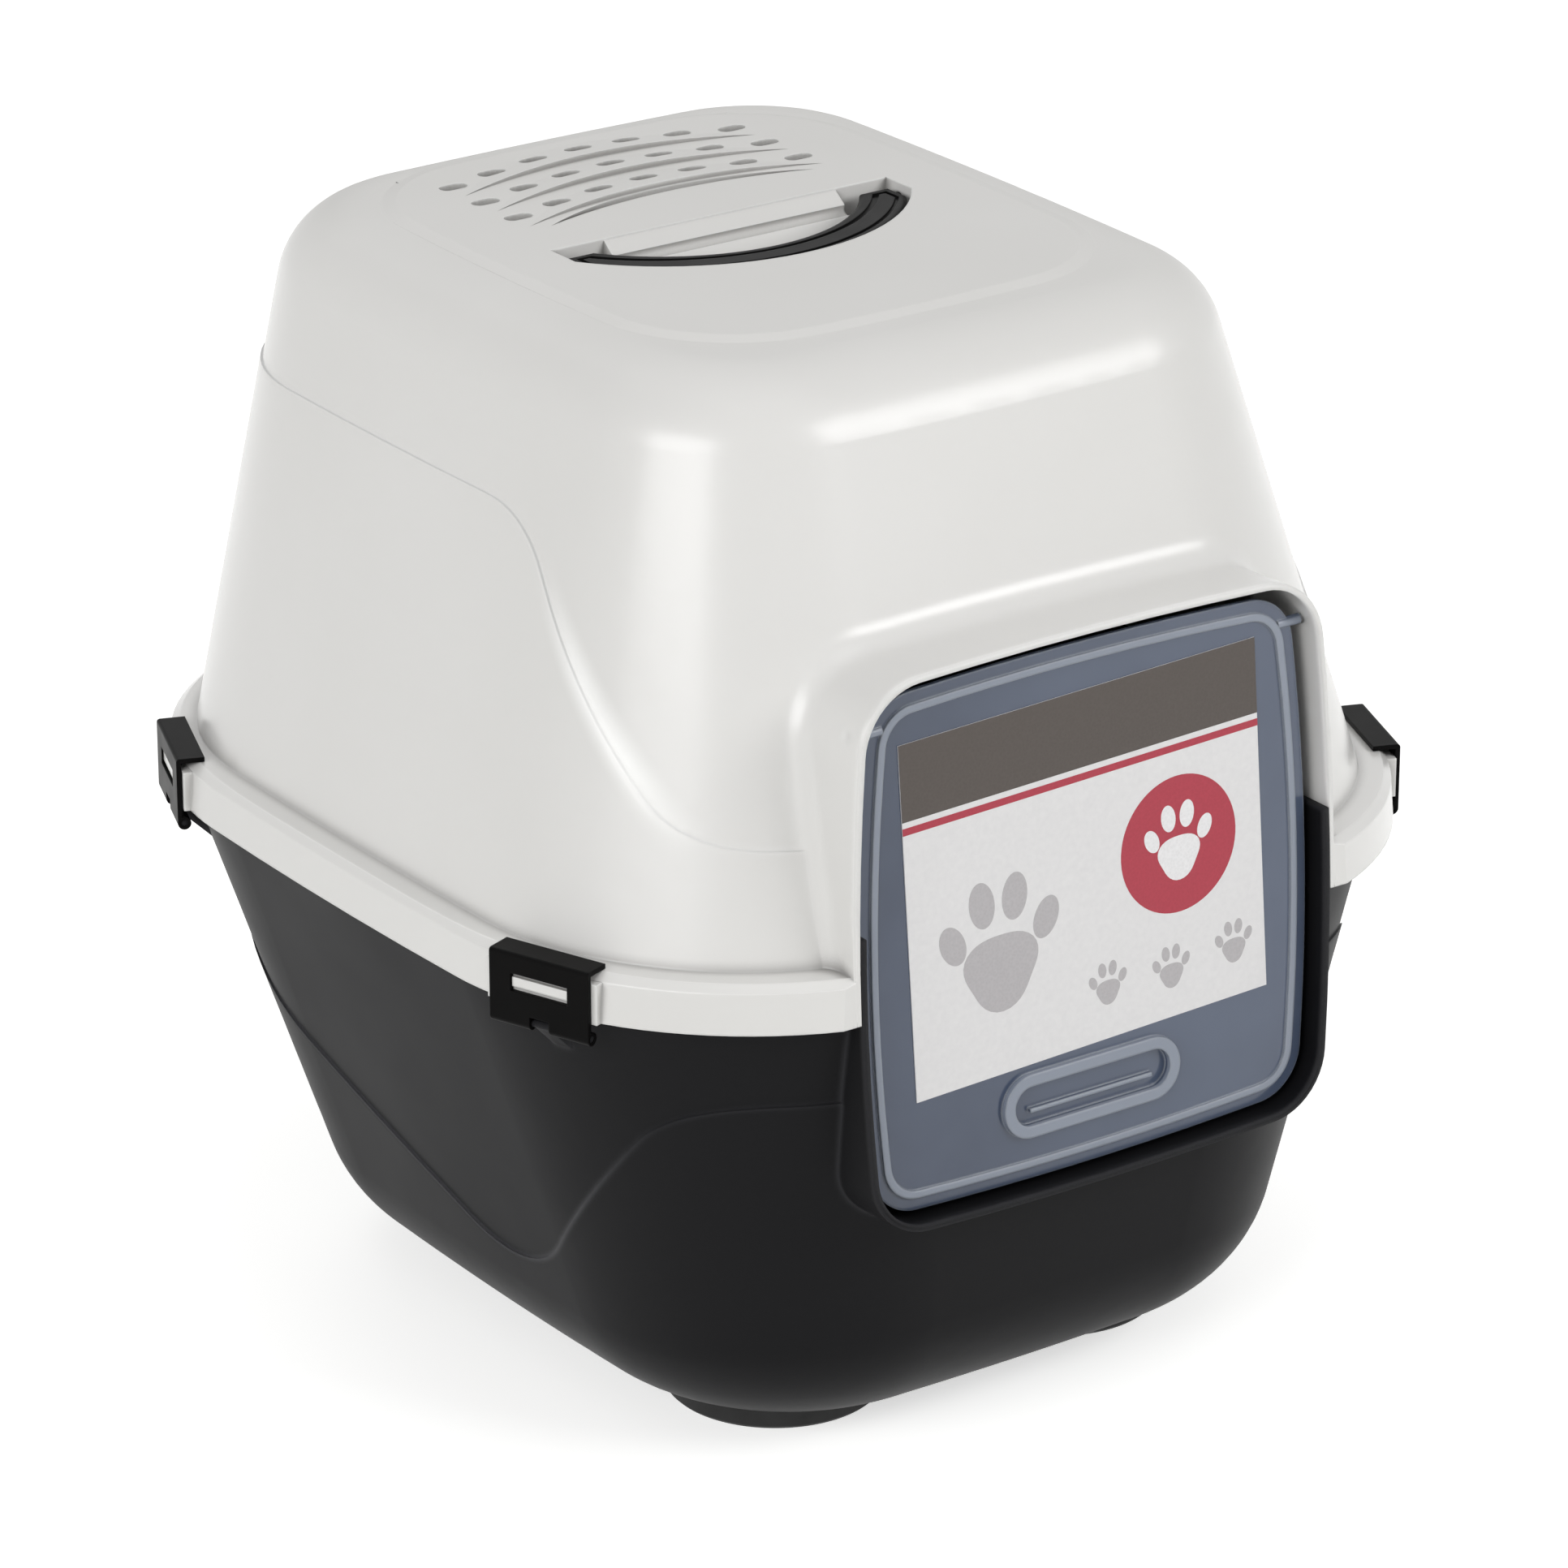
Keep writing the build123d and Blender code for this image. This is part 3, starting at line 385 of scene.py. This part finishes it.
def offsetInk(tone):
    material, tree, shader, place = startMaterial(tone + "OffsetInk")
    dots = addNode(tree, "ShaderNodeTexVoronoi", {"Vector": place, "Scale": perMetre(inkFinish["dotSize"])})
    full = hexColour(inkFinish[tone])
    gain, lift = inkFinish["thinning"]
    thin = tuple(min(1.0, c * gain + lift) for c in full[:3]) + (1.0,)
    addNode(tree, "ShaderNodeMix", {factor: dots.outputs["Distance"], first: full, second: thin},
            feeds=shader.inputs["Base Color"], out=blend, data_type="RGBA")
    addNode(tree, "ShaderNodeMapRange",
            {"Value": dots.outputs["Distance"], "To Min": inkFinish["gloss"][0],
             "To Max": inkFinish["gloss"][1]}, feeds=shader.inputs["Roughness"])
    return material


# Moulded rubber for the feet: dull black with a dusty bloom
rubberFinish = {"black": "#0d0d0e", "bloom": "#191919", "dustSize": 9, "dustDepth": 0.0001,
                "dustStrength": 0.3, "gloss": (0.55, 0.75)}


def mouldedRubber():
    material, tree, shader, place = startMaterial("mouldedRubber")
    dustAndPaintedShade = addNode(tree, "ShaderNodeTexNoise",
                   {"Vector": place, "Scale": perMetre(rubberFinish["dustSize"]), "Detail": 8.0})
    addNode(tree, "ShaderNodeMix",
            {factor: dustAndPaintedShade.outputs["Fac"], first: hexColour(rubberFinish["black"]),
             second: hexColour(rubberFinish["bloom"])},
            feeds=shader.inputs["Base Color"], out=blend, data_type="RGBA")
    addNode(tree, "ShaderNodeMapRange",
            {"Value": dustAndPaintedShade.outputs["Fac"], "From Min": noiseSpan[0], "From Max": noiseSpan[1],
             "To Min": rubberFinish["gloss"][0], "To Max": rubberFinish["gloss"][1]},
            feeds=shader.inputs["Roughness"])
    addNode(tree, "ShaderNodeBump",
            {"Height": dustAndPaintedShade.outputs["Fac"], "Strength": rubberFinish["dustStrength"],
             "Distance": rubberFinish["dustDepth"]}, feeds=shader.inputs["Normal"])
    return material


# Needled carbon felt: soft black fibres with grey fluff standing out of it
feltFinish = {"black": "#0c0c0d", "fluff": "#2c2c2d", "fibreSize": 1.6, "tuftSize": 4.5, "tuftDepth": 0.0006,
              "tuftStrength": 0.8, "roughness": 0.95, "sheen": 0.4}


def carbonFelt():
    material, tree, shader, place = startMaterial("carbonFelt")
    fibre = addNode(tree, "ShaderNodeTexNoise",
                    {"Vector": place, "Scale": perMetre(feltFinish["fibreSize"]), "Detail": 8.0})
    tufts = addNode(tree, "ShaderNodeTexVoronoi",
                    {"Vector": place, "Scale": perMetre(feltFinish["tuftSize"])})
    height = addNode(tree, "ShaderNodeMath", {0: fibre.outputs["Fac"], 1: tufts.outputs["Distance"]},
                     operation="ADD")
    addNode(tree, "ShaderNodeMix",
            {factor: fibre.outputs["Fac"], first: hexColour(feltFinish["black"]),
             second: hexColour(feltFinish["fluff"])},
            feeds=shader.inputs["Base Color"], out=blend, data_type="RGBA")
    addNode(tree, "ShaderNodeBump",
            {"Height": height.outputs[0], "Strength": feltFinish["tuftStrength"],
             "Distance": feltFinish["tuftDepth"]}, feeds=shader.inputs["Normal"])
    shader.inputs["Roughness"].default_value = feltFinish["roughness"]
    shader.inputs["Sheen Weight"].default_value = feltFinish["sheen"]
    return material


finishes = {
    "hood": pearlPolypropylene(),
    "pan": anthracitePolypropylene(),
    "trim": blackAcetal(),
    "door": smokedPolystyrene(),
    "card": coatedCard(),
    "rubber": mouldedRubber(),
    "felt": carbonFelt(),
}
for tone in ("taupe", "red", "grey", "white"):
    finishes[tone + "Ink"] = offsetInk(tone)
nodeFinish = {"hood": "hood", "pan": "pan", "door_flap": "door", "label_card": "card",
              "carbon_filter": "felt"}
for name, node in nodes.items():
    key = nodeFinish.get(name, "rubber" if name.startswith("foot") else "trim")
    node.data.materials.clear()
    node.data.materials.append(finishes[key])
print("materials on", len(nodes), "nodes")


# Print on the label card, in millimetres from its middle: a plain band, a stripe, a round badge and paw marks
label = {"cardFront": 0.0005, "centre": 0.1306, "turn": 1.8, "width": 176, "height": 150, "inkDepth": 0.00008}
bandSet = {"height": 32, "stripe": 3, "stripeGap": 4}
badgeSet = {"place": (46, -2), "size": 58, "pawSize": 36}
pawSet = {"big": (-44, -22, 62), "small": ((8, -52, 20), (40, -54, 20), (72, -52, 20))}
outlinePoints = {"oval": 32, "badge": 64, "pad": 40}
# a paw of size 1: its main pad, and each toe's place, width, height and turn
pawShape = {"padDrop": 0.14, "padReach": (0.30, 0.25), "lobes": 0.10, "squash": 0.05,
            "toes": ((-0.37, 0.12, 0.19, 0.29, 24), (-0.13, 0.33, 0.20, 0.32, 7),
                     (0.13, 0.33, 0.20, 0.32, -7), (0.37, 0.12, 0.19, 0.29, -24))}


def labelFrame():
    turn = math.radians(label["turn"])
    right = Vector((1, 0, 0))
    across = right * math.cos(turn) + doorUp * math.sin(turn)
    along = doorUp * math.cos(turn) - right * math.sin(turn)
    matrix = Matrix((across, along, doorOut)).transposed().to_4x4()
    matrix.translation = doorPanel + doorOut * label["cardFront"] + doorUp * label["centre"]
    return matrix


def inkShape(name, outlines, finish, layer=0):  # thin closed slabs from outlines in label millimetres
    mesh = bpy.data.meshes.new(name)
    build = bmesh.new()
    foot = layer * label["inkDepth"]
    head = foot + label["inkDepth"]
    for outline in outlines:
        points = [(x / millimetresPerMetre, y / millimetresPerMetre) for x, y in outline]
        low = [build.verts.new((x, y, foot)) for x, y in points]
        high = [build.verts.new((x, y, head)) for x, y in points]
        build.faces.new(list(reversed(low)))
        build.faces.new(high)
        for i in range(len(points)):
            j = (i + 1) % len(points)
            build.faces.new((low[i], low[j], high[j], high[i]))
    build.transform(labelFrame())
    bmesh.ops.recalc_face_normals(build, faces=build.faces)
    build.to_mesh(mesh)
    build.free()
    piece = intoScene(name, mesh)
    mesh.materials.append(finishes[finish])
    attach(piece, "door")


def ovalOutline(x, y, width, height, turn=0.0, count=outlinePoints["oval"]):
    c, s = math.cos(math.radians(turn)), math.sin(math.radians(turn))
    points = [(width / 2 * math.cos(k * math.tau / count), height / 2 * math.sin(k * math.tau / count))
              for k in range(count)]
    return [(x + c * p - s * q, y + s * p + c * q) for p, q in points]


def barOutline(x, y, width, height):
    return [(x - width / 2, y - height / 2), (x + width / 2, y - height / 2),
            (x + width / 2, y + height / 2), (x - width / 2, y + height / 2)]


def padOutline(x, y, size):  # main pad of a paw: an oval swollen into three lobes and squashed a little
    points = []
    for k in range(outlinePoints["pad"]):
        a = k * math.tau / outlinePoints["pad"]
        swell = pawShape["lobes"] * math.cos(3 * a - math.pi / 2) - pawShape["squash"] * math.cos(2 * a)
        r = size * (1 + swell)
        points.append((x + r * math.cos(a) * pawShape["padReach"][0],
                       y + r * math.sin(a) * pawShape["padReach"][1]))
    return points


def pawOutlines(x, y, size):
    outlines = [padOutline(x, y - size * pawShape["padDrop"], size)]
    for right, up, width, height, turn in pawShape["toes"]:
        outlines.append(ovalOutline(x + size * right, y + size * up, size * width, size * height, turn))
    return outlines


bandMiddle = label["height"] / 2 - bandSet["height"] / 2
stripePlace = label["height"] / 2 - bandSet["height"] - bandSet["stripeGap"]
badgeOutline = ovalOutline(*badgeSet["place"], badgeSet["size"], badgeSet["size"],
                           count=outlinePoints["badge"])
pawMarks = pawOutlines(*pawSet["big"])
for spot in pawSet["small"]:
    pawMarks += pawOutlines(*spot)
inkShape("labelBand", [barOutline(0, bandMiddle, label["width"], bandSet["height"])], "taupeInk")
inkShape("labelStripe", [barOutline(0, stripePlace, label["width"], bandSet["stripe"])], "redInk")
inkShape("labelBadge", [badgeOutline], "redInk")
inkShape("badgePaw", pawOutlines(*badgeSet["place"], badgeSet["pawSize"]), "whiteInk", layer=1)
inkShape("labelPaws", pawMarks, "greyInk")
print("label printed")


# Carbon pad in the filter frame: a crowned felt mat, softer than its collision block
padSet = {"across": 36, "along": 22, "cornerRadius": 0.006, "edgeDrop": 0.0022, "edgeWidth": 0.012,
          "dimple": 0.0004, "dimpleWaves": ((41, 3), (-2, 29))}


def padPoint(u, v, half):  # place in the pad's outline, and how far its faces fall back there
    x, y = u * half.x, v * half.y
    radius = padSet["cornerRadius"]
    inX, inY = half.x - abs(x), half.y - abs(y)
    reach = math.hypot(radius - inX, radius - inY)
    if inX < radius and inY < radius and reach > radius:  # corners are pulled onto their arc
        x = math.copysign(half.x - radius + (radius - inX) * radius / reach, x)
        y = math.copysign(half.y - radius + (radius - inY) * radius / reach, y)
    near = max(0.0, 1 - min(half.x - abs(x), half.y - abs(y)) / padSet["edgeWidth"])
    waves = [math.sin(perU * u + perV * v) for perU, perV in padSet["dimpleWaves"]]
    dimple = padSet["dimple"] * (0.5 + 0.5 * waves[0] * waves[1])
    return x, y, padSet["edgeDrop"] * near * near + dimple


def carbonPad():
    low, high = (Vector(corner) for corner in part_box("carbon_filter"))
    middle, half = (low + high) / 2, (high - low) / 2
    across, along = padSet["across"], padSet["along"]
    mesh = bpy.data.meshes.new("carbonPad")
    build = bmesh.new()
    rows = {}
    for side in (-1, 1):
        for i in range(across + 1):
            for j in range(along + 1):
                x, y, drop = padPoint(2 * i / across - 1, 2 * j / along - 1, half)
                place = middle + Vector((x, y, side * (half.z - drop)))
                rows[side, i, j] = build.verts.new(place)
    for i in range(across):
        for j in range(along):
            for side in (-1, 1):
                ring = [rows[side, i, j], rows[side, i + 1, j],
                        rows[side, i + 1, j + 1], rows[side, i, j + 1]]
                build.faces.new(ring if side > 0 else list(reversed(ring)))
    border = [(i, 0) for i in range(across)]
    border += [(across, j) for j in range(along)]
    border += [(i, along) for i in range(across, 0, -1)]
    border += [(0, j) for j in range(along, 0, -1)]
    for k, here in enumerate(border):
        there = border[(k + 1) % len(border)]
        build.faces.new((rows[(-1,) + here], rows[(-1,) + there], rows[(1,) + there], rows[(1,) + here]))
    bmesh.ops.recalc_face_normals(build, faces=build.faces)
    for face in build.faces:
        face.smooth = True
    build.to_mesh(mesh)
    build.free()
    pad = intoScene("carbonPad", mesh)
    mesh.materials.append(finishes["felt"])
    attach(pad, "filter")
    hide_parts("carbon_filter")


carbonPad()
print("carbon pad laid in")


# Stage: pale floor and soft studio light
stage = {"floor": "#f0f0ee", "floorReach": 8.0, "lift": (0.6, 0.76), "sweep": (0.9, 3.5), "sky": "#ffffff",
         "world": 0.336, "aim": (0.0, 0.0, 0.25)}
# place, width, height and watts of each soft box
lamps = {"key": ((-2.33, -0.9, 1.35), 1.8, 1.0, 27), "fill": ((1.35, -2.15, 1.65), 1.6, 1.0, 28),
         "side": ((-2.4, 0.6, 1.0), 1.0, 1.4, 1), "top": ((0.1, -0.5, 2.7), 1.6, 1.6, 5),
         "rear": ((0.3, 1.9, 2.5), 1.6, 1.2, 9)}


def seenDirectly(tree):  # 1 for what is seen, also mirrored or through the door, 0 for light on the box
    path = addNode(tree, "ShaderNodeLightPath")
    straight = addNode(tree, "ShaderNodeMath",
                       {0: path.outputs["Is Camera Ray"], 1: path.outputs["Is Glossy Ray"]},
                       operation="MAXIMUM")
    either = addNode(tree, "ShaderNodeMath", {0: straight.outputs[0], 1: path.outputs["Is Transmission Ray"]},
                     operation="MAXIMUM")
    return either.outputs[0]


def paleFloor():
    mesh = bpy.data.meshes.new("paleFloor")
    reach = stage["floorReach"]
    corners = [(-reach, -reach, 0), (reach, -reach, 0), (reach, reach, 0), (-reach, reach, 0)]
    mesh.from_pydata(corners, [], [(0, 1, 2, 3)])
    floor = intoScene("paleFloor", mesh)
    material = bpy.data.materials.new("mattPaper")
    tree, surface = emptyTree(material, "ShaderNodeOutputMaterial")
    paper = addNode(tree, "ShaderNodeBsdfDiffuse", {"Color": hexColour(stage["floor"])})
    # the paper pales to white away from the box, so that no horizon shows
    place = addNode(tree, "ShaderNodeTexCoord").outputs["Object"]
    distance = addNode(tree, "ShaderNodeVectorMath", {0: place}, operation="LENGTH")
    lift = addNode(tree, "ShaderNodeMapRange",
                   {"Value": distance.outputs["Value"], "From Min": stage["sweep"][0],
                    "From Max": stage["sweep"][1], "To Min": stage["lift"][0], "To Max": stage["lift"][1]})
    strength = addNode(tree, "ShaderNodeMath", {0: seenDirectly(tree), 1: lift.outputs[0]},
                       operation="MULTIPLY")
    glow = addNode(tree, "ShaderNodeEmission", {"Strength": strength.outputs[0]})
    addNode(tree, "ShaderNodeAddShader", {0: paper.outputs[0], 1: glow.outputs[0]}, feeds=surface)
    mesh.materials.append(material)


def studioWorld():
    world = bpy.data.worlds.new("studioWorld")
    bpy.context.scene.world = world
    tree, surface = emptyTree(world, "ShaderNodeOutputWorld")
    strength = addNode(tree, "ShaderNodeMapRange",
                       {"Value": seenDirectly(tree), "To Min": stage["world"], "To Max": 1.0})
    addNode(tree, "ShaderNodeBackground",
            {"Color": hexColour(stage["sky"]), "Strength": strength.outputs["Result"]}, feeds=surface)


def softBox(name, place, width, height, watts):
    light = bpy.data.lights.new(name, "AREA")
    light.shape = "RECTANGLE"
    light.size, light.size_y, light.energy = width, height, watts
    aim(intoScene(name, light), place, stage["aim"])


paleFloor()
studioWorld()
for name, (place, width, height, watts) in lamps.items():
    softBox(name, place, width, height, watts)
print("stage lit")


# Camera at the photograph's angle
cameraSet = {"azimuth": -35.37, "elevation": 22.44, "target": (0.0063, 0.0, 0.213), "distance": 3.068,
             "lens": 167.7, "sensor": 36.0}
lens = bpy.data.cameras.new("photoCamera")
lens.lens, lens.sensor_width = cameraSet["lens"], cameraSet["sensor"]
camera = intoScene("photoCamera", lens)
turn, rise = math.radians(cameraSet["azimuth"]), math.radians(cameraSet["elevation"])
back = Vector((math.sin(turn) * math.cos(rise), -math.cos(turn) * math.cos(rise), math.sin(rise)))
aim(camera, Vector(cameraSet["target"]) + back * cameraSet["distance"], cameraSet["target"])
bpy.context.scene.camera = camera
bpy.context.scene.view_settings.view_transform = "Standard"

print("scene ready")
